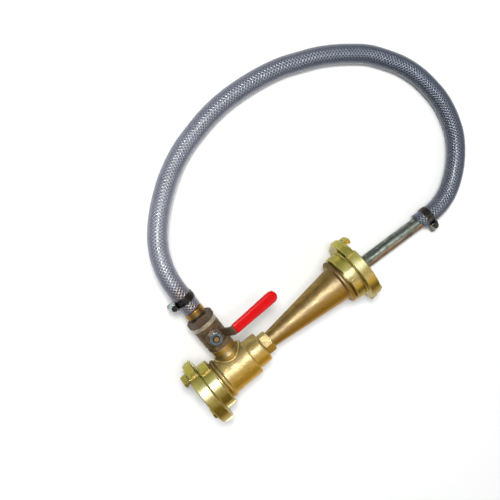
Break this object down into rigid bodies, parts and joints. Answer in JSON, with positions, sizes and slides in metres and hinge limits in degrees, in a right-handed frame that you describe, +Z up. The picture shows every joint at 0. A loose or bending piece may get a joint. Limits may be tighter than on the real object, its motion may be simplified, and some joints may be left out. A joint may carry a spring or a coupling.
{
  "type": "in-line jet eductor",
  "caption": "Brass in-line jet eductor with claw couplings, a side suction ball valve with a lever, a clear braided suction hose and a steel pickup pipe.",
  "frame": {"origin": "centre of the water way at the inlet coupling's face", "axes": "+X along the water flow from inlet to outlet, +Y along the suction branch, +Z up along the valve stem"},
  "size_m": [0.5855, 0.3775, 0.1109],
  "materials": {
    "cast_brass": "sand-cast golden brass, lightly polished",
    "coupling_brass": "machined yellow-green brass",
    "valve_bronze": "tarnished brown bronze",
    "black_rubber": "matt black rubber",
    "white_seat": "white seal plastic",
    "polished_ball": "polished plating",
    "lever_zinc": "dull zinc plated steel plate",
    "bright_zinc": "bluish zinc plated steel",
    "red_grip": "glossy red dipped vinyl",
    "clear_hose": "clear hose with white cross braid",
    "galvanised_steel": "galvanised steel"
  },
  "bodies": {
    "eductor": {"eductor_body": "cast_brass", "inlet_coupling": "coupling_brass", "outlet_coupling": "coupling_brass", "inlet_gasket": "black_rubber", "outlet_gasket": "black_rubber", "inlet_washer": "black_rubber", "outlet_washer": "black_rubber", "jet_nozzle": "cast_brass", "diffuser": "cast_brass", "diffuser_locknut": "cast_brass", "valve_body": "valve_bronze", "valve_end_cap": "valve_bronze", "inner_ball_seat": "white_seat", "outer_ball_seat": "white_seat", "stem_packing": "white_seat", "packing_gland": "valve_bronze", "hose_barb": "coupling_brass", "barb_seal": "black_rubber", "hose_clamp_band": "bright_zinc", "hose_clamp_screw": "bright_zinc", "suction_hose": "clear_hose", "pipe_clamp_band": "bright_zinc", "pipe_clamp_screw": "bright_zinc", "pickup_pipe": "galvanised_steel"},
    "valve_lever": {"lever": "lever_zinc", "lever_grip": "red_grip", "lever_nut": "bright_zinc", "valve_stem": "coupling_brass", "valve_ball": "polished_ball"}
  },
  "joints": [
    {"name": "valve_turn", "type": "hinge", "parent": "eductor", "child": "valve_lever", "pos_m": [0.067, 0.065, 0.02], "axis": [0, 0, 1], "range_deg": [0, 90]}
  ]
}
